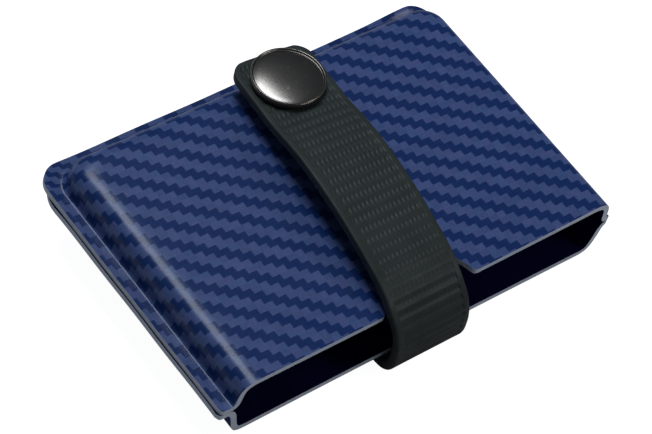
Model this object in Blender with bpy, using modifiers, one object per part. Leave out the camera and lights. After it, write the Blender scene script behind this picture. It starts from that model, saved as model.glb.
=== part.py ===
"""Slim card wallet: two moulded plastic shells held shut by a strap with a press snap.

Metres, +Z up. X is the long side of the wallet, the open side of the card pocket
faces -Y, and the wallet lies on the flat underside of its strap at z = 0.
"""
import math

import bmesh
import bpy
from mathutils import Matrix

MM = 0.001

# ---- driving dimensions, millimetres ---------------------------------------------
SHEET = 1.3            # thickness of the moulded plastic sheet
POCKET_W = 89.1        # clear width between the side walls
POCKET_D = 58.0        # clear depth from the open side to the back wall
SHELL_H = 16.0         # both shells together, outside
FLANGE = 4.3           # how far the joined rims stand out at the left
BACK_FLANGE = 3.1      # and at the back
RIGHT_STUB = 1.0       # what is left of the rim on the right after trimming
WALL_CORNER_R = 5.0    # plan radius of the tray's two back corners
RIM_CORNER_R = 4.6     # plan radius of the rim's back corners
NOTCH_X = 0.85         # thumb notch in the upper shell: a round bite
NOTCH_R = 11.0
NOTCH_OFF = 1.5        # its centre lies this far in front of the edge
NOTCH_LIP_R = 1.2      # rounding where it meets the edge

STRAP_W = 17.8
STRAP_T = 2.0
STRAP_SLACK = 0.7      # strap to lower shell
STRAP_END_R = 4.0
HINGE_GAP = 0.3        # open line between two lengths of the strap

CAP_D = 15.2
CAP_H = 1.7

# ---- derived positions, millimetres ----------------------------------------------
SHELL_Z0 = STRAP_T + STRAP_SLACK             # underside of the lower shell
SHELL_Z1 = SHELL_Z0 + SHELL_H                # top of the upper shell
WALL_OUT_X = POCKET_W / 2.0 + SHEET          # outside of the side walls
WALL_OUT_Y = POCKET_D + SHEET                # outside of the back wall from the front
SHELL_X = (FLANGE - RIGHT_STUB) / 2.0        # middle of the pocket: the rims differ
LEFT_X = SHELL_X - WALL_OUT_X
RIGHT_X = SHELL_X + WALL_OUT_X
FRONT_Y = -28.78                             # the cut front edges of both shells
BACK_Y = FRONT_Y + WALL_OUT_Y

SNAP_X = 2.8
SNAP_ALONG = 51.4          # from the front edge to the snap
SNAP_Y = FRONT_Y + SNAP_ALONG
ANCHOR_X = 1.4
ANCHOR_Y = FRONT_Y + 46.0

# (outward from the wall, height) of the upper shell's outer face, top to rim
UPPER_PROFILE = (
    (-4.6, 18.70), (-3.3, 18.60), (-2.1, 18.28), (-1.15, 17.72), (-0.5, 16.9), (-0.15, 15.9),
    (0.05, 15.0), (0.25, 14.2), (0.6, 13.5), (1.15, 13.05), (2.0, 12.92), (4.3, 12.9),
)
# the same for the lower shell, from its underside up to the rim
LOWER_PROFILE = (
    (-4.8, 2.70), (-3.3, 2.76), (-2.0, 3.15), (-1.2, 3.9), (-0.7, 4.9), (-0.35, 6.1),
    (0.0, 7.5), (0.3, 8.6), (0.7, 9.4), (1.3, 9.88), (2.2, 9.99), (4.3, 10.0),
)

# outer face of the strap seen from the side: (from the front edge, height)
STRAP_OUTLINE = (
    (54.0, 0.0), (46.0, 0.0), (36.0, 0.0), (25.0, 0.0), (14.0, 0.0), (6.0, 0.0), (3.0, 0.0),
    (1.0, 0.05), (-0.8, 0.45), (-2.5, 1.65), (-3.75, 3.6), (-4.5, 6.1), (-4.8, 8.8),
    (-4.85, 11.6), (-4.5, 14.4), (-3.6, 17.0), (-2.2, 19.3), (-0.3, 21.15),
    (2.4, 22.7), (5.4, 23.75), (9.0, 24.5), (14.0, 25.45), (20.0, 26.2), (26.0, 26.55),
    (32.0, 26.5), (37.0, 25.95), (40.5, 25.3), (43.4, 24.85), (47.4, 24.62), (51.4, 24.4),
    (55.5, 24.17), (59.6, 23.94),
)
LOWER_FOLD = 10            # outline point where the front length starts
UPPER_FOLD = 17            # outline point where the flap starts
STRAP_X_BOTTOM = 1.4       # centre line under the wallet
STRAP_X_FOLD = -1.6        # centre line where it comes over the front edge
STRAP_X_SNAP = SNAP_X      # centre line at the snap: the strap lies slightly askew

STUD_Z = SHELL_Z1 + 0.3    # underside of the stud's flange
SNAP_Z = 24.4              # outer face of the strap at the snap
SNAP_TILT = 3.2            # degrees: the strap falls this much toward its end there
ON_STRAP = (SNAP_X, SNAP_Y, SNAP_Z)
ON_SHELL = (SNAP_X, SNAP_Y, 0.0)
HOLE_D = 3.8
POST_D = 3.0
RECESS_D = 9.2             # countersink for the anchor rivet's flat head
RECESS_H = 1.05


# ---- small helpers ---------------------------------------------------------------
def clear_scene():
    for obj in list(bpy.data.objects):
        bpy.data.objects.remove(obj, do_unlink=True)


def make_collection(name):
    coll = bpy.data.collections.new(name)
    bpy.context.scene.collection.children.link(coll)
    return coll


def make_material(name, rgb, metallic, roughness):
    mat = bpy.data.materials.new(name)
    mat.use_nodes = True
    shader = mat.node_tree.nodes["Principled BSDF"]
    shader.inputs["Base Color"].default_value = (rgb[0], rgb[1], rgb[2], 1.0)
    shader.inputs["Metallic"].default_value = metallic
    shader.inputs["Roughness"].default_value = roughness
    return mat


def add_object(name, bm, coll, mat):
    mesh = bpy.data.meshes.new(name)
    bm.to_mesh(mesh)
    bm.free()
    obj = bpy.data.objects.new(name, mesh)
    coll.objects.link(obj)
    if mat is not None:
        mesh.materials.append(mat)
    return obj


def hide_cutter(obj):
    obj.hide_render = True
    obj.display_type = "WIRE"


def subtract(obj, cutter):
    mod = obj.modifiers.new("cut", "BOOLEAN")
    mod.operation = "DIFFERENCE"
    mod.solver = "EXACT"
    mod.object = cutter


def smooth_shading(coll):
    for obj in coll.objects:
        if obj.type == "MESH":
            obj.data.shade_smooth()
            obj.data.set_sharp_from_angle(angle=math.radians(35.0))


# ---- shells ----------------------------------------------------------------------
def arc(cx, cy, radius, start, end, steps):
    points = []
    for i in range(steps + 1):
        a = math.radians(start + (end - start) * i / steps)
        points.append((cx + radius * math.cos(a), cy + radius * math.sin(a)))
    return points


def shell_ring(out, radius, side_steps=3, corner_steps=6, back_steps=8):
    """Left wall, back wall and right wall at one distance out, as a line of points."""
    x0 = LEFT_X - out
    x1 = RIGHT_X + out
    y1 = BACK_Y + min(out, out * BACK_FLANGE / FLANGE)
    left_end = y1 - radius
    left = []
    for i in range(side_steps):
        left.append((x0, FRONT_Y + (left_end - FRONT_Y) * i / side_steps))
    left += arc(x0 + radius, y1 - radius, radius, 180.0, 90.0, corner_steps)
    back = []
    for i in range(1, back_steps):
        f = i / back_steps
        back.append((x0 + radius + (x1 - x0 - 2.0 * radius) * f, y1))
    right = [(x0 + x1 - x, y) for x, y in reversed(left)]
    return left, back, right


def shell_surface(profile):
    """Outer face of one shell: the flat plate, then one ring per profile point."""
    bm = bmesh.new()
    last_out = profile[-1][0]
    rings = []
    for out, height in profile:
        f = max(0.0, out) / last_out
        radius = WALL_CORNER_R + min(out, 0.0) * 0.3 + (RIM_CORNER_R - WALL_CORNER_R) * f
        left, back, right = shell_ring(out, radius)
        rings.append([bm.verts.new((x * MM, y * MM, height * MM))
                      for x, y in left + back + right])
    count = len(rings[0])
    for inner, outer in zip(rings, rings[1:]):
        for i in range(count - 1):
            bm.faces.new((inner[i], outer[i], outer[i + 1], inner[i + 1]))
    fill_plate(bm, rings[0])
    bmesh.ops.recalc_face_normals(bm, faces=bm.faces)
    return bm


def fill_plate(bm, ring):
    """Rows of faces across the plate between matching points of its left and right."""
    left, back, right = shell_ring(0.0, 1.0)
    rows = len(left)
    columns = len(back) + 1
    grid = []
    for i in range(rows - 1):
        a = ring[i]
        b = ring[len(ring) - 1 - i]
        row = [a]
        for j in range(1, columns):
            co = a.co.lerp(b.co, j / columns)
            row.append(bm.verts.new(co))
        row.append(b)
        grid.append(row)
    grid.append([ring[rows - 1 + j] for j in range(columns + 1)])
    for low, high in zip(grid, grid[1:]):
        for j in range(columns):
            bm.faces.new((low[j], low[j + 1], high[j + 1], high[j]))


def shell(name, profile, coll, mat, upward):
    bm = shell_surface(profile)
    middle = [f for f in bm.faces if abs(f.normal.z) > 0.99]
    if (middle[0].normal.z > 0.0) != upward:
        bmesh.ops.reverse_faces(bm, faces=bm.faces)
    obj = add_object(name, bm, coll, mat)
    solid = obj.modifiers.new("sheet", "SOLIDIFY")
    solid.thickness = SHEET * MM
    solid.offset = -1.0
    solid.use_even_offset = True
    return obj


def box_cutter(name, x0, x1, y0, y1, z0, z1, coll):
    bm = bmesh.new()
    size = ((x1 - x0) * MM, (y1 - y0) * MM, (z1 - z0) * MM)
    centre = ((x0 + x1) * MM / 2, (y0 + y1) * MM / 2, (z0 + z1) * MM / 2)
    matrix = Matrix.Translation(centre) @ Matrix.Diagonal((*size, 1.0))
    bmesh.ops.create_cube(bm, size=1.0, matrix=matrix)
    obj = add_object(name, bm, coll, None)
    hide_cutter(obj)
    return obj


def prism(name, outline, z0, z1, coll):
    """Upright cutter with a flat outline."""
    bm = bmesh.new()
    verts = [bm.verts.new((x * MM, y * MM, z0 * MM)) for x, y in outline]
    face = bm.faces.new(verts)
    result = bmesh.ops.extrude_face_region(bm, geom=[face])
    top = [v for v in result["geom"] if isinstance(v, bmesh.types.BMVert)]
    bmesh.ops.translate(bm, verts=top, vec=(0.0, 0.0, (z1 - z0) * MM))
    bmesh.ops.recalc_face_normals(bm, faces=bm.faces)
    obj = add_object(name, bm, coll, None)
    hide_cutter(obj)
    return obj


def drill(name, x, y, z0, z1, diameter, coll):
    bm = bmesh.new()
    matrix = Matrix.Translation((x * MM, y * MM, (z0 + z1) * MM / 2))
    bmesh.ops.create_cone(bm, cap_ends=True, segments=32, radius1=diameter * MM / 2,
                          radius2=diameter * MM / 2, depth=(z1 - z0) * MM, matrix=matrix)
    obj = add_object(name, bm, coll, None)
    hide_cutter(obj)
    return obj


def notch_cutter(coll):
    """Upright round block that meets the front edge in two small roundings."""
    reach = NOTCH_R + NOTCH_LIP_R
    drop = NOTCH_OFF + NOTCH_LIP_R
    lip_x = math.sqrt(reach * reach - drop * drop)
    lean = math.degrees(math.asin(drop / reach))
    outline = [(-lip_x, -4.0)]
    outline += arc(-lip_x, NOTCH_LIP_R, NOTCH_LIP_R, 270.0, 360.0 - lean, 4)
    outline += arc(0.0, -NOTCH_OFF, NOTCH_R, 180.0 - lean, lean, 20)[1:-1]
    outline += arc(lip_x, NOTCH_LIP_R, NOTCH_LIP_R, 180.0 + lean, 270.0, 4)
    outline += [(lip_x, -4.0)]
    outline = [(NOTCH_X + x, FRONT_Y + y) for x, y in outline]
    return prism("cut_thumb_notch", outline, 14.0, 22.0, coll)


# ---- strap -----------------------------------------------------------------------
def strap_centre_x(along, height):
    """Centre line of the strap across the wallet at a point of its side outline."""
    if along > 0.0 and height > 16.0:
        return STRAP_X_FOLD + (STRAP_X_SNAP - STRAP_X_FOLD) * along / SNAP_ALONG
    f = min(1.0, max(0.0, height / 20.0))
    return STRAP_X_BOTTOM + (STRAP_X_FOLD - STRAP_X_BOTTOM) * f


def strap_skew(along, height):
    """Sideways lean of the cross rows, so that the strap's end stays square to it."""
    if along > 8.0 and height > 16.0:
        lean = (STRAP_X_SNAP - STRAP_X_FOLD) / SNAP_ALONG
        return lean * min(1.0, (along - 8.0) / 30.0)
    return 0.0


def smooth_outline(first, last, steps=3):
    """Curve through the outline points, from one of them to another."""
    points = []
    count = len(STRAP_OUTLINE)
    for i in range(first, last):
        p0 = STRAP_OUTLINE[max(i - 1, 0)]
        p1 = STRAP_OUTLINE[i]
        p2 = STRAP_OUTLINE[i + 1]
        p3 = STRAP_OUTLINE[min(i + 2, count - 1)]
        for k in range(steps):
            points.append(curve_point(p0, p1, p2, p3, k / steps))
    points.append(STRAP_OUTLINE[last])
    return points


def curve_point(p0, p1, p2, p3, t):
    result = []
    for a, b, c, d in zip(p0, p1, p2, p3):
        value = 2.0 * b + (c - a) * t + (2.0 * a - 5.0 * b + 4.0 * c - d) * t * t
        value += (3.0 * b - a - 3.0 * c + d) * t ** 3
        result.append(value / 2.0)
    return tuple(result)


def trim_start(points, gap):
    (y0, z0), (y1, z1) = points[0], points[1]
    f = gap / math.hypot(y1 - y0, z1 - z0)
    return [(y0 + (y1 - y0) * f, z0 + (z1 - z0) * f)] + list(points[1:])


def strap_run(name, points, coll, mat, across=8):
    """One length of strap: a strip laid along its outer face, then given thickness."""
    bm = bmesh.new()
    rows = []
    for along, height in points:
        centre = strap_centre_x(along, height)
        skew = strap_skew(along, height)
        row = []
        for j in range(across + 1):
            x = STRAP_W * (j / across - 0.5)
            y = FRONT_Y + along - x * skew
            row.append(bm.verts.new(((centre + x) * MM, y * MM, height * MM)))
        rows.append(row)
    for a, b in zip(rows, rows[1:]):
        for j in range(across):
            bm.faces.new((a[j], a[j + 1], b[j + 1], b[j]))
    obj = add_object(name, bm, coll, mat)
    solid = obj.modifiers.new("thickness", "SOLIDIFY")
    solid.thickness = STRAP_T * MM
    solid.offset = -1.0
    solid.use_even_offset = True
    return obj


def end_cutter(name, x, y, angle, z0, z1, coll):
    """Everything outside a rounded strap end whose tip points along +Y, turned by angle."""
    half = STRAP_W / 2.0
    r = STRAP_END_R
    wide = half + 4.0
    outline = [(wide, -r - 1.0), (wide, 4.0), (-wide, 4.0), (-wide, -r - 1.0)]
    outline += [(-half - 0.01, -r - 1.0)]
    outline += arc(-half + r, -r, r, 180.0, 90.0, 6)
    outline += arc(half - r, -r, r, 90.0, 0.0, 6)
    outline += [(half + 0.01, -r - 1.0)]
    c = math.cos(angle)
    s = math.sin(angle)
    turned = [(x + px * c - py * s, y + px * s + py * c) for px, py in outline]
    return prism(name, turned, z0, z1, coll)


# ---- turned pieces ---------------------------------------------------------------
def lathe(name, profile, place, coll, mat, closed, tilt=0.0, steps=40):
    """Turn (radius, height) points about an axis through place, leaning by tilt."""
    bm = bmesh.new()
    verts = [bm.verts.new((r * MM, 0.0, z * MM)) for r, z in profile]
    for a, b in zip(verts, verts[1:]):
        bm.edges.new((a, b))
    if closed:
        bm.edges.new((verts[-1], verts[0]))
    obj = add_object(name, bm, coll, mat)
    obj.location = (place[0] * MM, place[1] * MM, place[2] * MM)
    obj.rotation_euler = (math.radians(-tilt), 0.0, 0.0)
    screw = obj.modifiers.new("turn", "SCREW")
    screw.axis = "Z"
    screw.steps = steps
    screw.render_steps = steps
    screw.use_merge_vertices = True
    screw.merge_threshold = 0.00001
    return obj


def circle_profile(radius, height, wire, steps=10):
    points = []
    for i in range(steps):
        a = -2.0 * math.pi * i / steps
        points.append((radius + wire * math.cos(a), height + wire * math.sin(a)))
    return points


def snap_cap(coll, mat):
    """Domed cap with a raised rim, standing just clear of the strap."""
    z = 0.35
    top = z + CAP_H
    r = CAP_D / 2.0
    profile = [
        (0.0, top - 0.28), (3.5, top - 0.34), (6.1, top - 0.55), (6.65, top - 0.5),
        (6.95, top - 0.12), (7.2, top), (r - 0.1, top - 0.22), (r, top - 0.55),
        (r, z + 0.35), (r - 0.2, z), (6.5, z), (6.5, z + 0.6), (0.0, z + 0.6),
    ]
    return lathe("snap_cap", profile, ON_STRAP, coll, mat, False, SNAP_TILT)


def cap_post(coll, mat):
    """Flanged post: from inside the cap, down through the strap, spread in the socket."""
    top = 0.62
    low = -STRAP_T - 1.05
    r = POST_D / 2.0
    profile = [
        (0.0, top), (5.9, top), (5.9, top - 0.25), (r, top - 0.25), (r, low + 0.35),
        (2.5, low + 0.2), (2.5, low), (0.0, low),
    ]
    return lathe("cap_post", profile, ON_STRAP, coll, mat, False, SNAP_TILT)


def snap_socket(coll, mat):
    """Socket under the strap: a cup open downward with a groove for its spring."""
    top = -STRAP_T - 0.3
    low = -STRAP_T - 2.3
    profile = [
        (1.95, top), (5.5, top), (5.6, top - 0.2), (5.4, top - 0.38), (4.75, top - 0.42),
        (4.75, low + 0.35), (4.5, low + 0.08), (4.1, low), (3.55, low), (3.4, low + 0.12),
        (3.45, low + 0.25), (4.15, low + 0.3), (4.15, low + 1.2), (3.7, top - 0.45),
        (1.95, top - 0.4),
    ]
    return lathe("snap_socket", profile, ON_STRAP, coll, mat, True, SNAP_TILT)


def socket_spring(coll, mat):
    wire = circle_profile(3.57, -STRAP_T - 1.5, 0.24)
    return lathe("socket_spring", wire, ON_STRAP, coll, mat, True, SNAP_TILT)


def snap_stud(coll, mat):
    """Hollow stud on the upper shell: base flange, neck and rounded head."""
    z = STUD_Z
    profile = [
        (1.9, z + 1.8), (2.3, z + 1.8), (2.65, z + 1.6), (2.8, z + 1.3), (2.7, z + 1.0),
        (2.4, z + 0.75), (2.4, z + 0.58), (4.2, z + 0.45), (4.35, z + 0.25), (4.25, z),
        (1.9, z),
    ]
    lathe("snap_stud", profile, ON_SHELL, coll, mat, True)


def stud_post(coll, mat):
    """Post from inside the pocket, through the upper shell, into the stud."""
    plate_in = SHELL_Z1 - SHEET
    r = POST_D / 2.0
    profile = [
        (0.0, STUD_Z + 1.5), (r - 0.3, STUD_Z + 1.5), (r, STUD_Z + 1.2), (r, plate_in - 0.3),
        (3.9, plate_in - 0.3), (4.0, plate_in - 0.5), (3.6, plate_in - 0.9),
        (0.0, plate_in - 1.0),
    ]
    lathe("stud_post", profile, ON_SHELL, coll, mat, False)


def anchor_rivet(coll, mat):
    """Rivet holding the strap to the lower shell, its flat head sunk in the strap."""
    floor = SHELL_Z0 + SHEET
    r = POST_D / 2.0
    profile = [
        (0.0, floor + 1.0), (2.9, floor + 0.85), (3.4, floor + 0.5), (3.3, floor + 0.3),
        (r, floor + 0.3), (r, 0.72), (4.1, 0.72), (4.25, 0.5), (4.1, 0.1), (0.0, 0.1),
    ]
    lathe("anchor_rivet", profile, (ANCHOR_X, ANCHOR_Y, 0.0), coll, mat, False)


def build_shells(coll, cutters, mat):
    upper = shell("upper_shell", UPPER_PROFILE, coll, mat, True)
    lower = shell("lower_shell", LOWER_PROFILE, coll, mat, False)
    trim = box_cutter("cut_right_rim", RIGHT_X + RIGHT_STUB, 70.0,
                      FRONT_Y - 5.0, BACK_Y + 20.0, -5.0, 40.0, cutters)
    subtract(upper, drill("cut_stud_hole", SNAP_X, SNAP_Y, 14.0, 22.0, HOLE_D, cutters))
    subtract(upper, trim)
    subtract(lower, trim)
    subtract(upper, notch_cutter(cutters))
    subtract(lower, drill("cut_anchor_hole", ANCHOR_X, ANCHOR_Y, 1.0, 8.0, HOLE_D, cutters))


def fold_axis(name, index, coll):
    """Empty on the outer face of the strap where one length folds on the next."""
    along, height = STRAP_OUTLINE[index]
    axis = bpy.data.objects.new(name, None)
    axis.location = (0.0, (FRONT_Y + along) * MM, height * MM)
    coll.objects.link(axis)
    return axis


def hang(children, parent):
    """Parent without moving."""
    bpy.context.view_layer.update()
    for child in children:
        child.parent = parent
        child.matrix_parent_inverse = parent.matrix_world.inverted()


def build_strap(coll, cutters, mat):
    last = len(STRAP_OUTLINE) - 1
    base = strap_run("strap_base", smooth_outline(0, LOWER_FOLD), coll, mat)
    front = smooth_outline(LOWER_FOLD, UPPER_FOLD)
    middle = strap_run("strap_front", trim_start(front, HINGE_GAP), coll, mat)
    top = smooth_outline(UPPER_FOLD, last)
    flap = strap_run("strap_flap", trim_start(top, HINGE_GAP), coll, mat)
    subtract(base, drill("cut_base_hole", ANCHOR_X, ANCHOR_Y, -1.0, 4.0, HOLE_D, cutters))
    subtract(base, drill("cut_recess", ANCHOR_X, ANCHOR_Y, -1.0, RECESS_H, RECESS_D, cutters))
    subtract(flap, drill("cut_flap_hole", SNAP_X, SNAP_Y, 21.0, 26.0, HOLE_D, cutters))
    lean = math.atan2(STRAP_X_SNAP - STRAP_X_FOLD, SNAP_ALONG)
    tip_x = STRAP_X_SNAP + 8.2 * math.sin(lean)
    tip_y = FRONT_Y + STRAP_OUTLINE[last][0] - 0.2
    subtract(flap, end_cutter("cut_flap_end", tip_x, tip_y, -lean, 20.0, 27.0, cutters))
    tail_y = FRONT_Y + STRAP_OUTLINE[0][0] - 0.2
    subtract(base, end_cutter("cut_base_end", STRAP_X_BOTTOM, tail_y, 0.0, -1.0, 4.0, cutters))
    return middle, flap


def build():
    clear_scene()
    coll = make_collection("card_wallet")
    cutters = make_collection("cutters")
    twill = make_material("blue_twill_plastic", (0.018, 0.035, 0.13), 0.0, 0.38)
    rubber = make_material("strap_rubber", (0.035, 0.038, 0.037), 0.0, 0.7)
    gunmetal = make_material("snap_gunmetal", (0.09, 0.088, 0.085), 1.0, 0.22)
    spring = make_material("spring_steel", (0.5, 0.5, 0.5), 1.0, 0.3)
    build_shells(coll, cutters, twill)
    middle, flap = build_strap(coll, cutters, rubber)
    cap = snap_cap(coll, gunmetal)
    post = cap_post(coll, gunmetal)
    socket = snap_socket(coll, gunmetal)
    ring = socket_spring(coll, spring)
    snap_stud(coll, gunmetal)
    stud_post(coll, gunmetal)
    anchor_rivet(coll, gunmetal)
    lower_axis = fold_axis("lower_fold", LOWER_FOLD, coll)
    upper_axis = fold_axis("upper_fold", UPPER_FOLD, coll)
    hang([middle, upper_axis], lower_axis)
    hang([flap, cap, post, socket, ring], upper_axis)
    smooth_shading(coll)


build()
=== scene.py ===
"""Looks for the card wallet: twill shells, ribbed strap, press snap, floor, light, camera.

Lengths in the constants are millimetres, but the lights and the camera are placed in
metres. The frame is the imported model's: +X along the wallet, the open side of the pocket
toward -Y, +Z up, the wallet lying on z = 0.
"""
import math

import bmesh
import bpy
from mathutils import Matrix, Vector


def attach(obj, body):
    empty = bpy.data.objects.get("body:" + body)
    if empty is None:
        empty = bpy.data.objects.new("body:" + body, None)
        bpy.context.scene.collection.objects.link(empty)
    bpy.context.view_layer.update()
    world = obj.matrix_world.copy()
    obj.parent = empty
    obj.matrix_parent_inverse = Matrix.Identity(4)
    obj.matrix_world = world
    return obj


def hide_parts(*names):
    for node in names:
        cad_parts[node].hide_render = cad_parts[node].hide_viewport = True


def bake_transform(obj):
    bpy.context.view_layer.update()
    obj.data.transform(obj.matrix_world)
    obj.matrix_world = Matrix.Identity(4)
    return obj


MM = 0.001
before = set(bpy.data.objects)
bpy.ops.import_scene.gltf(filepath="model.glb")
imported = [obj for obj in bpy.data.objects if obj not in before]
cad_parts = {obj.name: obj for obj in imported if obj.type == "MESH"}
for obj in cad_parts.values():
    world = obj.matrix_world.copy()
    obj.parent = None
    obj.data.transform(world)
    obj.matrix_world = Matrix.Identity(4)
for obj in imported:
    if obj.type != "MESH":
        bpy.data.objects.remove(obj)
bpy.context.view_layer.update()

# ---- shells ----------------------------------------------------------------------
SHEET = 1.3
FLANGE = 4.3
UPPER_LEFT_RIM = 3.3       # the left rims are a little narrower, the upper one more
LOWER_LEFT_RIM = 3.6
RIGHT_RIM = 2.6            # before trimming, so that the rims meet within the stub
BACK_FLANGE = 3.1
RIGHT_STUB = 1.0
LEFT_X = -44.2             # outsides of the walls
RIGHT_X = 47.5
FRONT_Y = -28.78
BACK_Y = 30.52
WALL_CORNER_R = 5.0
UPPER_CORNER_R = 5.0       # back left corners of the rims
LOWER_CORNER_R = 8.2
NOTCH_X = 0.85
NOTCH_R = 11.0
NOTCH_OFF = 1.5
NOTCH_LIP_R = 1.2
NOTCH_FADE = 30.0          # the plate's rows straighten out over this depth
CUT_ROUND = 0.20           # rounding of the cut edges
SIDE_ROWS = 34
CORNER_ROWS = 12
FRONT_SAG = 0.4            # the upper front edge dips this much at mid span
FRONT_RISE = 0.25          # and the lower one rises
SAG_DEPTH = 26.0           # both fade out over this distance from the front
CORNER_NIB = 1.1           # rounding of the rim's front corner
CORNER_TAPER = 0.3         # a wall's corner tightens this much per millimetre inward
TRIM_CORNER_R = 4.6        # back corner of the trimmed right rim
RIM_START = 1.2            # the rims are uneven from this far outside the walls
RIM_SPREAD = 60.0          # square of the distance over which their lifts fade
LEFT_LIFT = 0.35           # each rim moves this far off the other at the back left
RIGHT_LIFT = 1.1           # and both rise by this much at the back right
PROFILE_ROWS = 38          # mesh rows across a wall and its rim
LINING_SLOT = 1            # material slots of a shell
EDGE_SLOT = 2

# (outward from the wall, height), top to rim and underside to rim
UPPER_PROFILE = (
    (-4.6, 18.70), (-3.3, 18.60), (-2.1, 18.28), (-1.15, 17.72), (-0.5, 16.9), (-0.15, 15.9),
    (0.05, 15.0), (0.2, 14.1), (0.45, 13.3), (0.8, 12.97), (1.3, 12.9), (4.3, 12.9),
)
LOWER_PROFILE = (
    (-4.8, 2.70), (-3.3, 2.76), (-2.0, 3.15), (-1.2, 3.9), (-0.7, 4.9), (-0.35, 6.1),
    (0.0, 7.5), (0.3, 8.6), (0.7, 9.45), (1.25, 10.12), (2.0, 10.27), (4.3, 10.28),
)

# ---- strap -----------------------------------------------------------------------
STRAP_W = 17.8
STRAP_T = 2.0
STRAP_END_R = 4.0
STRAP_X_BOTTOM = 1.4
STRAP_X_FOLD = -1.6
STRAP_X_SNAP = 2.8
SNAP_ALONG = 51.4
# outer face of the strap seen from the side: (from the front edge, height)
STRAP_OUTLINE = (
    (54.0, 0.0), (46.0, 0.0), (36.0, 0.0), (25.0, 0.0), (14.0, 0.0), (6.0, 0.0), (3.0, 0.0),
    (1.0, 0.05), (-0.8, 0.45), (-2.5, 1.65), (-3.75, 3.6), (-4.5, 6.1), (-4.8, 8.8),
    (-4.85, 11.6), (-4.5, 14.4), (-3.6, 17.0), (-2.2, 19.3), (-0.3, 21.15),
    (2.4, 22.7), (5.4, 23.75), (9.0, 24.5), (14.0, 25.45), (20.0, 26.2), (26.0, 26.55),
    (32.0, 26.5), (37.0, 25.95), (40.5, 25.3), (43.4, 24.85), (47.4, 24.62), (51.4, 24.4),
    (55.5, 24.17), (59.6, 23.94),
)
STRAP_JOIN = 12            # the two strap meshes meet at the rib nearest this point
TOP_RUN_Z = 16.0           # the run over the top lies above this
SHIFT_Z = 20.0             # the front run shifts sideways up to this height
SKEW_START = 8.0           # the rows turn square to the lean over this stretch
SKEW_LENGTH = 30.0
BEND_FULL = -4.0           # on the front bend the pips are low and the ribs deep
BEND_END = 2.5
ROW_PITCH = 2.27           # one row of pips and one plain rib
PIP_PITCH = 1.02
RIB_DEPTH = 0.19
PIP_HEIGHT = 0.105
STRAP_BORDER = 1.25
STRAP_STEP = 0.19          # mesh spacing along the strap
STRAP_COLUMNS = 116
EDGE_ROUND = 0.42
END_PINCH = 0.45           # the ends thin out over this length
PINCH_SHARE = 0.35         # and lose this share of the thickness

# ---- snap ------------------------------------------------------------------------
CAP_D = 15.2
CAP_H = 1.7
CAP_GAP = 0.35
CAP_HOLLOW_R = 6.5
SNAP_PLACE = (STRAP_X_SNAP, FRONT_Y + SNAP_ALONG, 24.4)
SNAP_TILT = 3.2
ANCHOR_ALONG = 46.0
ANCHOR_PLACE = (STRAP_X_BOTTOM, FRONT_Y + ANCHOR_ALONG)
ANCHOR_HOLE_D = 3.8
RECESS_D = 9.2             # the rivet's head is sunk in the strap
RECESS_H = 1.05


# ---- curves ----------------------------------------------------------------------
def curve_point(p0, p1, p2, p3, t):
    """Catmull-Rom point between p1 and p2, with t from 0 to 1."""
    result = []
    for a, b, c, d in zip(p0, p1, p2, p3):
        value = 2.0 * b + (c - a) * t + (2.0 * a - 5.0 * b + 4.0 * c - d) * t * t
        value += (3.0 * b - a - 3.0 * c + d) * t ** 3
        result.append(value / 2.0)
    return tuple(result)


def smooth(points, steps):
    """Catmull-Rom curve through points, steps to each span."""
    result = []
    last = len(points) - 1
    for i in range(last):
        p0 = points[max(i - 1, 0)]
        p3 = points[min(i + 2, last)]
        for k in range(steps):
            result.append(curve_point(p0, points[i], points[i + 1], p3, k / steps))
    result.append(points[last])
    return result


def lengths(points):
    """Distance along the line at each point."""
    total = [0.0]
    for a, b in zip(points, points[1:]):
        total.append(total[-1] + math.dist(a, b))
    return total


def resample(points, count):
    """count + 1 points evenly spaced along the line."""
    run = lengths(points)
    result = []
    j = 0
    for i in range(count + 1):
        s = run[-1] * i / count
        while j < len(points) - 2 and run[j + 1] < s:
            j += 1
        f = (s - run[j]) / (run[j + 1] - run[j])
        result.append(tuple(a + (b - a) * f for a, b in zip(points[j], points[j + 1])))
    return result


def smoothstep(low, high, x):
    """0 below low, 1 above high, with a soft step between them."""
    t = min(1.0, max(0.0, (x - low) / (high - low)))
    return t * t * (3.0 - 2.0 * t)


def arc(cx, cy, radius, start, end, steps):
    """Points along a circle between two angles in degrees."""
    points = []
    for i in range(steps + 1):
        a = math.radians(start + (end - start) * i / steps)
        points.append((cx + radius * math.cos(a), cy + radius * math.sin(a)))
    return points


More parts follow.
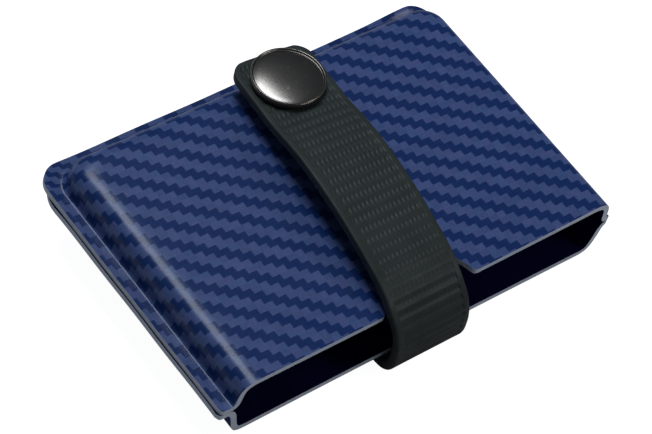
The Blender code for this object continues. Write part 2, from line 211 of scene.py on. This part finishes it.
# ---- materials -------------------------------------------------------------------
class Graph:
    """Short way to write one material's nodes."""

    def __init__(self, name):
        self.mat = bpy.data.materials.new(name)
        self.mat.use_nodes = True
        self.tree = self.mat.node_tree
        self.shader = self.tree.nodes["Principled BSDF"]

    def put(self, socket, value):
        if isinstance(value, bpy.types.NodeSocket):
            self.tree.links.new(value, socket)
        elif isinstance(value, tuple) and len(value) == 3 and len(socket.default_value) == 4:
            socket.default_value = (*value, 1.0)
        else:
            socket.default_value = value

    def set(self, **values):
        for name, value in values.items():
            self.put(self.shader.inputs[name.replace("_", " ")], value)

    def math(self, operation, *values):
        node = self.tree.nodes.new("ShaderNodeMath")
        node.operation = operation
        for socket, value in zip(node.inputs, values):
            self.put(socket, value)
        return node.outputs[0]

    def sheet(self):
        """Place on the flat sheet, in millimetres."""
        node = self.tree.nodes.new("ShaderNodeAttribute")
        node.attribute_name = "sheet"
        return node.outputs["Vector"]

    def place(self):
        """Place in the object, in metres."""
        node = self.tree.nodes.new("ShaderNodeTexCoord")
        return node.outputs["Object"]

    def split(self, vector):
        node = self.tree.nodes.new("ShaderNodeSeparateXYZ")
        self.put(node.inputs[0], vector)
        return node.outputs

    def stretch(self, vector, scale):
        node = self.tree.nodes.new("ShaderNodeMapping")
        self.put(node.inputs["Vector"], vector)
        node.inputs["Scale"].default_value = scale
        return node.outputs[0]

    def noise(self, vector, scale, detail=2.0, rough=0.5):
        node = self.tree.nodes.new("ShaderNodeTexNoise")
        self.put(node.inputs["Vector"], vector)
        node.inputs["Scale"].default_value = scale
        node.inputs["Detail"].default_value = detail
        node.inputs["Roughness"].default_value = rough
        return node.outputs["Fac"]

    def random(self, x, y):
        """One value from 0 to 1 for each whole x and y."""
        cell = self.tree.nodes.new("ShaderNodeCombineXYZ")
        self.put(cell.inputs[0], self.math("FLOOR", x))
        self.put(cell.inputs[1], self.math("FLOOR", y))
        node = self.tree.nodes.new("ShaderNodeTexWhiteNoise")
        node.noise_dimensions = "2D"
        self.put(node.inputs["Vector"], cell.outputs[0])
        return node.outputs["Value"]

    def ramp(self, value, low, high, out_low=0.0, out_high=1.0):
        node = self.tree.nodes.new("ShaderNodeMapRange")
        for name, v in (("Value", value), ("From Min", low), ("From Max", high),
                        ("To Min", out_low), ("To Max", out_high)):
            self.put(node.inputs[name], v)
        return node.outputs[0]

    def mix(self, factor, a, b):
        node = self.tree.nodes.new("ShaderNodeMix")
        node.data_type = "RGBA"
        colours = [s for s in node.inputs if s.type == "RGBA"]
        self.put(node.inputs[0], factor)
        self.put(colours[0], a)
        self.put(colours[1], b)
        return [s for s in node.outputs if s.type == "RGBA"][0]

    def bump(self, height, distance, strength=1.0):
        node = self.tree.nodes.new("ShaderNodeBump")
        self.put(node.inputs["Height"], height)
        node.inputs["Distance"].default_value = distance
        node.inputs["Strength"].default_value = strength
        self.put(self.shader.inputs["Normal"], node.outputs[0])


TWILL_DARK = (0.0120, 0.0440, 0.190)
TWILL_LIGHT = (0.084, 0.146, 0.365)
TWILL_WARM = (0.108, 0.143, 0.365)
TWILL_EDGE = (0.18, 0.24, 0.47)        # fine line on a light float's lower edge
TWILL_GAP = (0.004, 0.008, 0.03)       # between the fibres
TOW_SHADE = (0.010, 0.026, 0.110)      # some floats are darker than others
CELL_X = 1.72              # one step of the twill, across and along
CELL_Y = 1.42
REPEAT = 4.0               # steps in one repeat
DARK_SHARE = 0.455


def twill_material():
    """Printed 2/2 twill under a satin clear coat."""
    g = Graph("twill_plastic")
    sheet = g.sheet()
    x, y, _ = g.split(sheet)
    wobble_x = g.ramp(g.noise(sheet, 0.9), 0.0, 1.0, -0.13, 0.13)
    wobble_y = g.ramp(g.noise(g.stretch(sheet, (1.0, 1.0, 7.0)), 1.3), 0.0, 1.0, -0.09, 0.09)
    across = g.math("DIVIDE", g.math("ADD", x, wobble_x), CELL_X)
    up = g.math("DIVIDE", g.math("ADD", y, wobble_y), CELL_Y)
    row = g.math("FLOOR", up)
    phase = g.math("FRACT", g.math("DIVIDE", g.math("ADD", across, row), REPEAT))
    rise = g.ramp(phase, DARK_SHARE - 0.022, DARK_SHARE + 0.022)
    fall = g.ramp(phase, 0.965, 1.0)
    light = g.math("SUBTRACT", rise, fall)
    # fibres run up the light floats and across the dark ones
    fibre_up = g.noise(g.stretch(sheet, (7.0, 0.8, 1.0)), 1.0, 2.0)
    fibre_across = g.noise(g.stretch(sheet, (0.8, 7.0, 1.0)), 1.0, 2.0)
    fibre = g.math("ADD", g.math("MULTIPLY", fibre_up, light),
                   g.math("MULTIPLY", fibre_across, g.math("SUBTRACT", 1.0, light)))
    patch = g.ramp(g.noise(sheet, 0.35, 2.0), 0.35, 0.65)
    bright = g.mix(patch, TWILL_LIGHT, TWILL_WARM)
    colour = g.mix(light, TWILL_DARK, bright)
    in_row = g.math("FRACT", up)
    lip = g.math("MULTIPLY", g.ramp(in_row, 0.0, 0.14, 1.0, 0.0), light)
    colour = g.mix(g.math("MULTIPLY", lip, 0.22), colour, TWILL_EDGE)
    colour = g.mix(g.ramp(fibre, 0.3, 0.7, 0.26, 0.0), colour, TWILL_GAP)
    tow = g.math("MULTIPLY", g.random(across, up), 0.20)
    colour = g.mix(tow, colour, TOW_SHADE)
    g.set(Base_Color=colour, Specular_IOR_Level=0.36)
    smear = g.noise(sheet, 0.16, 3.0)
    rough = g.math("ADD", g.ramp(smear, 0.3, 0.7, 0.20, 0.26),
                   g.math("MULTIPLY", light, 0.04))
    g.set(Roughness=rough)
    peel = g.noise(sheet, 1.6, 2.0)
    height = g.math("ADD", g.math("MULTIPLY", peel, 0.35),
                    g.math("ADD", g.math("MULTIPLY", fibre, 0.15),
                           g.math("MULTIPLY", light, 0.25)))
    g.bump(height, 0.00003, 0.6)
    return g.mat


def cut_edge_material():
    """Sawn and buffed edge of the sheet: paler, with fine lengthwise scratches."""
    g = Graph("cut_edge_plastic")
    sheet = g.sheet()
    blotch = g.ramp(g.noise(sheet, 0.5, 3.0), 0.3, 0.7)
    colour = g.mix(blotch, (0.660, 0.720, 0.880), (0.780, 0.820, 0.930))
    scratch = g.noise(g.stretch(g.place(), (300.0, 4000.0, 9000.0)), 1.0, 3.0)
    colour = g.mix(g.ramp(scratch, 0.45, 0.7, 0.0, 0.3), colour, (0.86, 0.88, 0.92))
    g.set(Base_Color=colour, Roughness=g.ramp(scratch, 0.3, 0.7, 0.36, 0.52))
    g.bump(scratch, 0.00002, 0.5)
    return g.mat


def lining_material():
    """Inside of the shells: plain dark navy with a fine moulding grain."""
    g = Graph("pocket_lining")
    place = g.place()
    cloud = g.ramp(g.noise(place, 120.0, 3.0), 0.3, 0.7)
    g.set(Base_Color=g.mix(cloud, (0.0012, 0.0018, 0.0330), (0.0022, 0.0030, 0.0500)))
    grain = g.noise(place, 2600.0, 2.0)
    g.set(Roughness=g.ramp(grain, 0.3, 0.7, 0.55, 0.7), Specular_IOR_Level=0.08)
    g.bump(grain, 0.00003, 0.5)
    return g.mat


def strap_material():
    """Matte charcoal rubber with a slightly greenish cast."""
    g = Graph("strap_rubber")
    place = g.place()
    cloud = g.ramp(g.noise(place, 160.0, 3.0), 0.3, 0.7)
    colour = g.mix(cloud, (0.0270, 0.0340, 0.0318), (0.0375, 0.0455, 0.0428))
    speck = g.noise(place, 5200.0, 2.0)
    colour = g.mix(g.ramp(speck, 0.58, 0.72, 0.0, 0.35), colour, (0.058, 0.066, 0.065))
    g.set(Base_Color=colour, Specular_IOR_Level=0.26)
    g.set(Roughness=g.ramp(g.noise(place, 420.0, 3.0), 0.3, 0.7, 0.42, 0.52))
    g.bump(speck, 0.00002, 0.6)
    return g.mat


def gunmetal_material():
    """Polished black nickel with hairline turning marks and a few rubbed spots."""
    g = Graph("gunmetal")
    place = g.place()
    x, y, _ = g.split(place)
    radius = g.math("SQRT", g.math("ADD", g.math("MULTIPLY", x, x), g.math("MULTIPLY", y, y)))
    hair = g.noise(g.stretch(place, (9000.0, 700.0, 700.0)), 1.0, 3.0)
    rings = g.math("SINE", g.math("MULTIPLY", radius, 26000.0))
    rub = g.ramp(g.noise(place, 700.0, 4.0), 0.62, 0.80)
    colour = g.mix(rub, (0.275, 0.250, 0.225), (0.37, 0.34, 0.31))
    colour = g.mix(g.ramp(hair, 0.3, 0.7, 0.0, 0.35), colour, (0.125, 0.116, 0.107))
    g.set(Base_Color=colour, Metallic=1.0)
    g.set(Roughness=g.math("ADD", g.ramp(hair, 0.3, 0.7, 0.21, 0.27),
                           g.math("MULTIPLY", rub, 0.08)))
    g.bump(g.math("ADD", hair, g.math("MULTIPLY", rings, 0.15)), 0.00001, 0.12)
    return g.mat


def spring_material():
    """Bright drawn wire."""
    g = Graph("spring_wire")
    place = g.place()
    draw = g.noise(g.stretch(place, (2500.0, 2500.0, 12000.0)), 1.0, 3.0)
    g.set(Base_Color=g.mix(draw, (0.38, 0.38, 0.37), (0.60, 0.59, 0.57)), Metallic=1.0)
    g.set(Roughness=g.ramp(draw, 0.3, 0.7, 0.2, 0.38))
    g.bump(draw, 0.00001, 0.4)
    return g.mat


# ---- mesh helpers ----------------------------------------------------------------
def make_object(name, bm, materials):
    mesh = bpy.data.meshes.new(name)
    bm.to_mesh(mesh)
    bm.free()
    for mat in materials:
        mesh.materials.append(mat)
    mesh.shade_smooth()
    obj = bpy.data.objects.new(name, mesh)
    bpy.context.scene.collection.objects.link(obj)
    return obj


def add_round_edges(obj, width, segments, material):
    bevel = obj.modifiers.new("round_edges", "BEVEL")
    bevel.width = width * MM
    bevel.segments = segments
    bevel.limit_method = "ANGLE"
    bevel.angle_limit = math.radians(48.0)
    bevel.material = material
    bevel.harden_normals = True


# ---- shells ----------------------------------------------------------------------
def front_line(x0, x1, notched):
    """Front edge of the plate from left to right, with or without the thumb notch."""
    flat = 22
    around = 34
    if not notched:
        count = 2 * flat + around + 8
        return [(x0 + (x1 - x0) * i / count, 0.0) for i in range(count + 1)]
    reach = NOTCH_R + NOTCH_LIP_R
    drop = NOTCH_OFF + NOTCH_LIP_R
    lip_x = math.sqrt(reach * reach - drop * drop)
    lean = math.degrees(math.asin(drop / reach))
    left = NOTCH_X - lip_x
    right = NOTCH_X + lip_x
    points = [(x0 + (left - x0) * i / flat, 0.0) for i in range(flat)]
    points += arc(left, NOTCH_LIP_R, NOTCH_LIP_R, 270.0, 360.0 - lean, 4)
    points += arc(NOTCH_X, -NOTCH_OFF, NOTCH_R, 180.0 - lean, lean, around)[1:-1]
    points += arc(right, NOTCH_LIP_R, NOTCH_LIP_R, 180.0 + lean, 270.0, 4)
    points += [(right + (x1 - right) * i / flat, 0.0) for i in range(1, flat + 1)]
    return points


def plan_ring(out_left, out_right, out_back, radius, columns):
    """Points (x, y, outward x, outward y) round the left, the back and the right."""
    x0 = LEFT_X - out_left
    x1 = RIGHT_X + out_right
    y1 = BACK_Y + out_back
    depth = y1 - radius - FRONT_Y
    left = [(x0, FRONT_Y + depth * i / SIDE_ROWS, -1.0, 0.0) for i in range(SIDE_ROWS)]
    for i in range(CORNER_ROWS + 1):
        a = math.radians(180.0 - 90.0 * i / CORNER_ROWS)
        c, s = math.cos(a), math.sin(a)
        left.append((x0 + radius + radius * c, y1 - radius + radius * s, c, s))
    right = [(x0 + x1 - x, y, -nx, ny) for x, y, nx, ny in reversed(left)]
    back = []
    for i in range(1, columns):
        f = i / columns
        back.append((x0 + radius + (x1 - x0 - 2.0 * radius) * f, y1, 0.0, 1.0))
    return left + back + right


def rim_lift(x, y, out, upward):
    """Small unevenness where the two rims are pressed together."""
    if out <= RIM_START:
        return 0.0
    reach = smoothstep(RIM_START, FLANGE, out)
    near_left = math.exp(-((x - LEFT_X + 3.0) ** 2 + (y - BACK_Y - 2.0) ** 2) / RIM_SPREAD)
    near_right = math.exp(-((x - RIGHT_X + 4.0) ** 2 + (y - BACK_Y - 2.0) ** 2) / RIM_SPREAD)
    wave = 0.08 * math.sin(x * 0.23 + 0.7) + 0.07 * math.sin(y * 0.31 + 1.9)
    return reach * (upward * LEFT_LIFT * near_left + RIGHT_LIFT * near_right + wave)


def front_dip(x, y, depth):
    """Fall of a plate at (x, y), where its front edge falls by depth at mid span."""
    middle = (LEFT_X + RIGHT_X) / 2.0
    half = (RIGHT_X - LEFT_X) / 2.0
    span = 1.0 - min(1.0, ((x - middle) / half) ** 2)
    fade = max(0.0, 1.0 - (y - FRONT_Y) / SAG_DEPTH) ** 2
    return depth * span * fade


def wall_rings(fine, upward, left_rim, corner_r, columns, add):
    """A ring of vertices for each profile point, from the plate's edge to the rim's."""
    run = lengths(fine)
    rings = []
    for k, (out, z) in enumerate(fine):
        f = max(0.0, out) / FLANGE
        radius = WALL_CORNER_R + min(out, 0.0) * CORNER_TAPER + (corner_r - WALL_CORNER_R) * f
        out_left = min(out, out * left_rim / FLANGE)
        out_right = min(out, out * RIGHT_RIM / FLANGE)
        out_back = min(out, out * BACK_FLANGE / FLANGE)
        nib = max(0.0, out - (FLANGE - CORNER_NIB)) / CORNER_NIB
        ring = []
        for x, y, nx, ny in plan_ring(out_left, out_right, out_back, radius, columns):
            height = z + rim_lift(x, y, out, upward)
            u = x + nx * (run[k] - out + fine[0][0])
            v = y + ny * (run[k] - out_back + fine[0][0])
            if y < FRONT_Y + 0.01:
                y += CORNER_NIB * (1.0 - math.sqrt(max(0.0, 1.0 - nib * nib)))
            ring.append(add(x, y, height, u, v))
        rings.append(ring)
    return rings


def sheet_to_uv(bm, sheet):
    """Hand each vertex's place on the flat sheet to the materials."""
    uv = bm.loops.layers.uv.new("sheet")
    for face in bm.faces:
        for loop in face.loops:
            loop[uv].uv = loop.vert[sheet].xy
    bm.verts.layers.float_vector.remove(sheet)


def shell_mesh(profile, upward, left_rim, corner_r, notched):
    """One shell as an open sheet: the plate, the walls round it and the rim."""
    fine = resample(smooth(profile, 6), PROFILE_ROWS)
    front = front_line(LEFT_X - fine[0][0], RIGHT_X + fine[0][0], notched)
    columns = len(front) - 1
    dip = upward * (FRONT_SAG if upward > 0.0 else FRONT_RISE)
    bm = bmesh.new()
    sheet = bm.verts.layers.float_vector.new("flat_place")

    def add(x, y, z, u, v):
        """Vertex at a place in millimetres, with its place (u, v) on the flat sheet."""
        vert = bm.verts.new((x * MM, y * MM, (z - front_dip(x, y, dip)) * MM))
        vert[sheet] = (u, v, 0.0)
        return vert

    rings = wall_rings(fine, upward, left_rim, corner_r, columns, add)
    for inner, outer in zip(rings, rings[1:]):
        for i in range(len(inner) - 1):
            bm.faces.new((inner[i], outer[i], outer[i + 1], inner[i + 1]))
    fill_plate(rings[0], front, columns, add, bm, fine[0][1])
    bmesh.ops.recalc_face_normals(bm, faces=bm.faces)
    flat = max(bm.faces, key=lambda face: abs(face.normal.z))
    if flat.normal.z * upward < 0.0:
        bmesh.ops.reverse_faces(bm, faces=bm.faces)
    sheet_to_uv(bm, sheet)
    return bm


def fill_plate(ring, front, columns, add, bm, height):
    """Rows across the plate, pushed back round the thumb notch at the front."""
    rows = SIDE_ROWS + CORNER_ROWS
    last = len(ring) - 1
    grid = []
    for i in range(rows):
        a, b = ring[i], ring[last - i]
        ax, bx, y = a.co.x / MM, b.co.x / MM, a.co.y / MM
        fade = max(0.0, 1.0 - (y - FRONT_Y) / NOTCH_FADE)
        row = [a]
        for j in range(1, columns):
            x = ax + (bx - ax) * j / columns
            edge_x = front[0][0] + (front[-1][0] - front[0][0]) * j / columns
            px = x + (front[j][0] - edge_x) * fade
            py = y + front[j][1] * fade
            row.append(add(px, py, height, px, py))
        row.append(b)
        grid.append(row)
    grid.append(ring[rows:last - rows + 1])
    for low, high in zip(grid, grid[1:]):
        for j in range(columns):
            bm.faces.new((low[j], low[j + 1], high[j + 1], high[j]))


def right_trim(materials):
    """Everything beyond the trimmed right rim, which turns a round corner at the back."""
    x = RIGHT_X + RIGHT_STUB
    y = BACK_Y + BACK_FLANGE
    r = TRIM_CORNER_R
    front = FRONT_Y - 5.0
    far_x = x + 20.0
    far_y = y + 10.0
    outline = [(x, front)] + arc(x - r, y - r, r, 0.0, 90.0, 12)
    outline += [(x - r, far_y), (far_x, far_y), (far_x, front)]
    bm = bmesh.new()
    face = bm.faces.new([bm.verts.new((px * MM, py * MM, -5.0 * MM)) for px, py in outline])
    result = bmesh.ops.extrude_face_region(bm, geom=[face])
    top = [v for v in result["geom"] if isinstance(v, bmesh.types.BMVert)]
    bmesh.ops.translate(bm, verts=top, vec=(0.0, 0.0, 40.0 * MM))
    bmesh.ops.recalc_face_normals(bm, faces=bm.faces)
    for face in bm.faces:
        face.material_index = EDGE_SLOT
    return make_object("trim", bm, materials)


def build_shell(name, node, bm, materials):
    """Give the open sheet its thickness, trim the right rim and round the cut edges."""
    obj = make_object(name, bm, materials)
    solid = obj.modifiers.new("sheet", "SOLIDIFY")
    solid.thickness = SHEET * MM
    solid.offset = -1.0
    solid.use_even_offset = True
    solid.material_offset = LINING_SLOT
    solid.material_offset_rim = EDGE_SLOT
    apply_cuts(obj, [right_trim(materials)])
    obj.data.shade_smooth()
    add_round_edges(obj, CUT_ROUND, 3, EDGE_SLOT)
    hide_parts(node)
    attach(obj, "wallet")


# ---- strap -----------------------------------------------------------------------
def strap_centre_x(along, height):
    """Middle of the strap, which leans to the right over the top."""
    if along > 0.0 and height > TOP_RUN_Z:
        return STRAP_X_FOLD + (STRAP_X_SNAP - STRAP_X_FOLD) * along / SNAP_ALONG
    f = min(1.0, max(0.0, height / SHIFT_Z))
    return STRAP_X_BOTTOM + (STRAP_X_FOLD - STRAP_X_BOTTOM) * f


def strap_skew(along, height):
    """Slope of a row, which keeps it square to the leaning strap."""
    if along > SKEW_START and height > TOP_RUN_Z:
        lean = (STRAP_X_SNAP - STRAP_X_FOLD) / SNAP_ALONG
        return lean * min(1.0, (along - SKEW_START) / SKEW_LENGTH)
    return 0.0


def rib_height(s, x, half, to_end, bend):
    """Depth pressed into the outer face: rows of lengthwise pips between plain ribs."""
    inside = smoothstep(0.0, 0.35, half - STRAP_BORDER - abs(x))
    inside *= smoothstep(STRAP_BORDER, STRAP_BORDER + 0.5, to_end)
    turn = 2.0 * math.pi * s / ROW_PITCH
    groove = (0.5 - 0.5 * math.cos(turn)) ** 0.9
    pip = 0.5 + 0.5 * math.cos(2.0 * math.pi * (x + 0.1 * math.sin(turn)) / PIP_PITCH)
    rise = PIP_HEIGHT * (1.0 - 0.75 * bend) * pip ** 1.4
    return inside * groove * (rise - RIB_DEPTH * (1.0 + 0.9 * bend))


def strap_section(half):
    """Cross-section loop: (x, inward) from the outer face round the sides to the inner."""
    flat = half - EDGE_ROUND
    loop = [(-flat + 2.0 * flat * j / STRAP_COLUMNS, 0.0) for j in range(STRAP_COLUMNS + 1)]
    turn = arc(flat, EDGE_ROUND, EDGE_ROUND, -90.0, 0.0, 4)[1:]
    low = arc(flat, STRAP_T - EDGE_ROUND, EDGE_ROUND, 0.0, 90.0, 4)
    inner = 10
    loop += turn + low
    loop += [(flat - 2.0 * flat * j / inner, STRAP_T) for j in range(1, inner)]
    loop += [(-x, d) for x, d in reversed(turn + low)]
    return loop


def strap_rows():
    """(arc length, along, height, tangent, turned-out normal) finely along the outline."""
    line = smooth(STRAP_OUTLINE, 12)
    total = lengths(line)[-1]
    points = resample(line, int(total / STRAP_STEP))
    rows = []
    for i, (y, z) in enumerate(points):
        a = points[max(i - 2, 0)]
        b = points[min(i + 2, len(points) - 1)]
        size = math.dist(a, b)
        ty, tz = (b[0] - a[0]) / size, (b[1] - a[1]) / size
        rows.append((total * i / (len(points) - 1), y, z, ty, tz))
    return rows, total


def end_half(to_end):
    """Half width of the strap at a distance from its rounded end."""
    half = STRAP_W / 2.0
    if to_end >= STRAP_END_R:
        return half
    inward = STRAP_END_R - to_end
    return half - STRAP_END_R + math.sqrt(max(0.0, STRAP_END_R ** 2 - inward ** 2))


def strap_mesh(rows, total):
    """Closed mesh of the strap along some of its rows."""
    bm = bmesh.new()
    loops = []
    for s, along, height, ty, tz in rows:
        to_end = min(s, total - s)
        half = end_half(to_end)
        centre = strap_centre_x(along, height)
        skew = strap_skew(along, height)
        pinch = 1.0 - smoothstep(0.0, END_PINCH, to_end)
        bend = 1.0 - smoothstep(BEND_FULL, BEND_END, along)
        loop = []
        for x, inward in strap_section(half):
            d = -inward
            if inward == 0.0:
                d += rib_height(s, x, half, to_end, bend)
            d -= pinch * (STRAP_T / 2.0 - inward) * PINCH_SHARE
            y = FRONT_Y + along - x * skew - tz * d
            z = height + ty * d
            loop.append(bm.verts.new(((centre + x) * MM, y * MM, z * MM)))
        loops.append(loop)
    count = len(loops[0])
    for a, b in zip(loops, loops[1:]):
        for i in range(count):
            j = (i + 1) % count
            bm.faces.new((a[i], a[j], b[j], b[i]))
    cap_loop(bm, loops[0])
    cap_loop(bm, loops[-1])
    bmesh.ops.recalc_face_normals(bm, faces=bm.faces)
    return bm


def cap_loop(bm, loop):
    """Close an end with a fan of faces round its middle."""
    centre = sum((v.co for v in loop), Vector()) / len(loop)
    hub = bm.verts.new(centre)
    for i, vert in enumerate(loop):
        bm.faces.new((vert, loop[(i + 1) % len(loop)], hub))


def apply_cuts(obj, cutters):
    """Subtract the cutters for good, so that the mesh is final."""
    for cutter in cutters:
        mod = obj.modifiers.new("cut", "BOOLEAN")
        mod.operation = "DIFFERENCE"
        mod.solver = "MANIFOLD"
        mod.object = cutter
    depsgraph = bpy.context.evaluated_depsgraph_get()
    mesh = bpy.data.meshes.new_from_object(obj.evaluated_get(depsgraph))
    obj.modifiers.clear()
    obj.data = mesh
    for cutter in cutters:
        bpy.data.objects.remove(cutter, do_unlink=True)


def drill(x, y, z0, z1, diameter):
    """Upright round cutter."""
    bm = bmesh.new()
    matrix = Matrix.Translation((x * MM, y * MM, (z0 + z1) * MM / 2.0))
    bmesh.ops.create_cone(bm, cap_ends=True, segments=64, radius1=diameter * MM / 2.0,
                          radius2=diameter * MM / 2.0, depth=(z1 - z0) * MM, matrix=matrix)
    return make_object("drill", bm, [])


def build_strap(mat):
    """Two curved meshes that meet at a plain rib on the front bend."""
    rows, total = strap_rows()
    place = STRAP_OUTLINE[STRAP_JOIN]
    near = min(rows, key=lambda row: math.dist(row[1:3], place))
    join_s = round(near[0] / ROW_PITCH) * ROW_PITCH
    join = min(range(len(rows)), key=lambda i: abs(rows[i][0] - join_s))
    lower = make_object("strap_lower", strap_mesh(rows[:join + 1], total), [mat])
    upper = make_object("strap_upper", strap_mesh(rows[join:], total), [mat])
    x, y = ANCHOR_PLACE
    recess = drill(x, y, -1.0, RECESS_H, RECESS_D)
    hole = drill(x, y, -1.0, 4.0, ANCHOR_HOLE_D)
    apply_cuts(lower, [recess, hole])
    for obj in (lower, upper):
        obj.data.shade_smooth()
        obj.data.set_sharp_from_angle(angle=math.radians(50.0))
    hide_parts("strap_base")
    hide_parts("strap_front", "strap_flap")
    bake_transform(lower)
    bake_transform(upper)


# ---- snap ------------------------------------------------------------------------
def turned(profile, steps):
    """Mesh turned round Z from (radius, height) points in millimetres."""
    bm = bmesh.new()
    rings = []
    for radius, z in profile:
        if radius == 0.0:
            rings.append([bm.verts.new((0.0, 0.0, z * MM))])
            continue
        ring = []
        for i in range(steps):
            a = 2.0 * math.pi * i / steps
            ring.append(bm.verts.new((radius * math.cos(a) * MM, radius * math.sin(a) * MM,
                                      z * MM)))
        rings.append(ring)
    for a, b in zip(rings, rings[1:]):
        for i in range(steps):
            j = (i + 1) % steps
            corners = [a[i % len(a)], b[i % len(b)], b[j % len(b)], a[j % len(a)]]
            bm.faces.new(list(dict.fromkeys(corners)))
    bmesh.ops.recalc_face_normals(bm, faces=bm.faces)
    return bm


def build_cap(mat):
    """Domed cap: shallow face, groove, bright raised rim, straight side, turned-in hem."""
    top = CAP_GAP + CAP_H
    r = CAP_D / 2.0
    face = [(0.0, top), (1.8, top - 0.03), (3.4, top - 0.12), (4.8, top - 0.27),
            (6.0, top - 0.46), (6.65, top - 0.61), (6.92, top - 0.68), (7.04, top - 0.60),
            (7.14, top - 0.42), (7.28, top - 0.34), (7.42, top - 0.38), (7.53, top - 0.54),
            (r, top - 0.74), (r, CAP_GAP + 0.45), (r - 0.08, CAP_GAP + 0.16), (r - 0.3, CAP_GAP)]
    hollow = [(CAP_HOLLOW_R + 0.1, CAP_GAP), (CAP_HOLLOW_R, CAP_GAP + 0.1),
              (CAP_HOLLOW_R, CAP_GAP + 0.6), (0.0, CAP_GAP + 0.6)]
    obj = make_object("snap_cap_polished", turned(smooth(face, 5) + hollow, 144), [mat])
    obj.data.set_sharp_from_angle(angle=math.radians(50.0))
    obj.location = [value * MM for value in SNAP_PLACE]
    obj.rotation_euler = (math.radians(-SNAP_TILT), 0.0, 0.0)
    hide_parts("snap_cap")
    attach(obj, "flap")


def paint_nodes(mat, *names):
    """Give a material to the nodes that keep their own shape."""
    for name in names:
        for material_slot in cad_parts[name].material_slots:
            material_slot.material = mat


# ---- stage -----------------------------------------------------------------------
def build_floor():
    bm = bmesh.new()
    bmesh.ops.create_grid(bm, x_segments=2, y_segments=2, size=3.0)
    g = Graph("floor_white")
    tone = g.ramp(g.noise(g.place(), 30.0, 2.0), 0.3, 0.7)
    white = g.mix(tone, (0.50, 0.50, 0.50), (0.54, 0.54, 0.54))
    seen = g.tree.nodes.new("ShaderNodeLightPath").outputs["Is Camera Ray"]
    g.set(Base_Color=white, Roughness=0.9, Specular_IOR_Level=0.1,
          Emission_Color=(1.0, 1.0, 1.0), Emission_Strength=g.math("MULTIPLY", seen, 0.96))
    floor = make_object("floor", bm, [g.mat])
    floor.location = (0.0, 0.0, -0.0001)


# name, direction from the wallet, distance, size, power, tint
LIGHTS = (
    ("overhead", (0.04, 0.42, 0.90), 0.75, (0.30, 0.40), 2.3, (0.84, 0.92, 1.0)),
    ("front_right", (0.55, -0.50, 0.70), 0.80, (0.24, 0.24), 0.80, (1.0, 1.0, 1.0)),
    ("front_low", (0.30, -0.92, 0.24), 0.80, (0.40, 0.08), 0.22, (1.0, 1.0, 1.0)),
)
WORLD_TINT = (0.74, 0.85, 1.0, 1.0)
WORLD_STRENGTH = 0.08


def area_light(name, direction, distance, size, energy, colour):
    light = bpy.data.lights.new(name, "AREA")
    light.shape = "RECTANGLE"
    light.size = size[0]
    light.size_y = size[1]
    light.energy = energy
    light.color = colour
    obj = bpy.data.objects.new(name, light)
    bpy.context.scene.collection.objects.link(obj)
    away = Vector(direction).normalized()
    obj.location = away * distance
    obj.rotation_euler = away.to_track_quat("Z", "Y").to_euler()


def build_lights():
    world = bpy.data.worlds.new("studio")
    world.use_nodes = True
    background = world.node_tree.nodes["Background"]
    background.inputs["Color"].default_value = WORLD_TINT
    background.inputs["Strength"].default_value = WORLD_STRENGTH
    bpy.context.scene.world = world
    for light in LIGHTS:
        area_light(*light)


CAMERA_PLACE = (-0.28234, -0.22258, 0.44729)
CAMERA_RIGHT = (0.7827, -0.5879, 0.2046)
CAMERA_DOWN = (-0.3742, -0.7071, -0.6000)
CAMERA_AHEAD = (0.4974, 0.3930, -0.7734)
CAMERA_LENS = 160.5


def build_camera():
    data = bpy.data.cameras.new("camera")
    data.lens = CAMERA_LENS
    data.sensor_width = 36.0
    data.clip_start = 0.01
    camera = bpy.data.objects.new("camera", data)
    bpy.context.scene.collection.objects.link(camera)
    rows = (CAMERA_RIGHT, [-v for v in CAMERA_DOWN], [-v for v in CAMERA_AHEAD])
    turn = Matrix(rows).transposed().to_4x4()
    camera.matrix_world = Matrix.Translation(CAMERA_PLACE) @ turn
    bpy.context.scene.camera = camera


def main():
    bpy.context.scene.view_settings.view_transform = "Standard"
    twill = twill_material()
    edge = cut_edge_material()
    lining = lining_material()
    shell_materials = [twill, lining, edge]
    upper = shell_mesh(UPPER_PROFILE, 1.0, UPPER_LEFT_RIM, UPPER_CORNER_R, True)
    lower = shell_mesh(LOWER_PROFILE, -1.0, LOWER_LEFT_RIM, LOWER_CORNER_R, False)
    build_shell("upper_shell_twill", "upper_shell", upper, shell_materials)
    build_shell("lower_shell_twill", "lower_shell", lower, shell_materials)
    build_strap(strap_material())
    gunmetal = gunmetal_material()
    build_cap(gunmetal)
    paint_nodes(gunmetal, "cap_post", "snap_socket", "snap_stud", "stud_post", "anchor_rivet")
    paint_nodes(spring_material(), "socket_spring")
    build_floor()
    build_lights()
    build_camera()


main()
